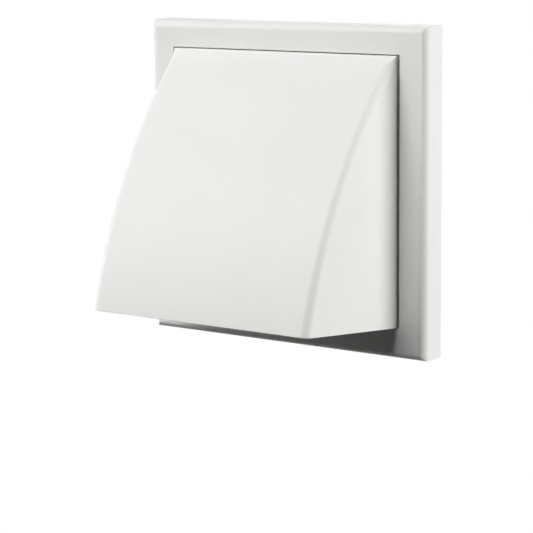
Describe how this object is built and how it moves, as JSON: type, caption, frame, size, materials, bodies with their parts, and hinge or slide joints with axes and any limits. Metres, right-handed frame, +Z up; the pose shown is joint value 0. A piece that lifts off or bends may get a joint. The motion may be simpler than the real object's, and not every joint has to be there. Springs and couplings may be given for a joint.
{
  "type": "wall vent cowl",
  "caption": "Outside wall vent cowl: square frame with a duct spigot behind it, a curved hood clipped into it that opens downwards, and a hanging backdraft flap.",
  "frame": {"origin": "on the duct's axis in the plane of the wall, which is the back face of the frame", "axes": "+Y along the duct's axis into the wall, +Z up, +X to the right as seen from in front; the hood reaches out along -Y"},
  "size_m": [0.154, 0.1177, 0.154],
  "materials": {
    "frame_plastic": "fine satin, as moulded",
    "hood_plastic": "fine satin, as moulded",
    "flap_plastic": "fine satin, as moulded"
  },
  "bodies": {
    "cowl": {"wall_frame": "frame_plastic", "cowl_hood": "hood_plastic"},
    "flap": {"backdraft_flap": "flap_plastic"}
  },
  "joints": [
    {"name": "flap_hinge", "type": "hinge", "parent": "cowl", "child": "flap", "pos_m": [0, -0.005, 0.0545], "axis": [-1, 0, 0], "range_deg": [0, 38]}
  ]
}
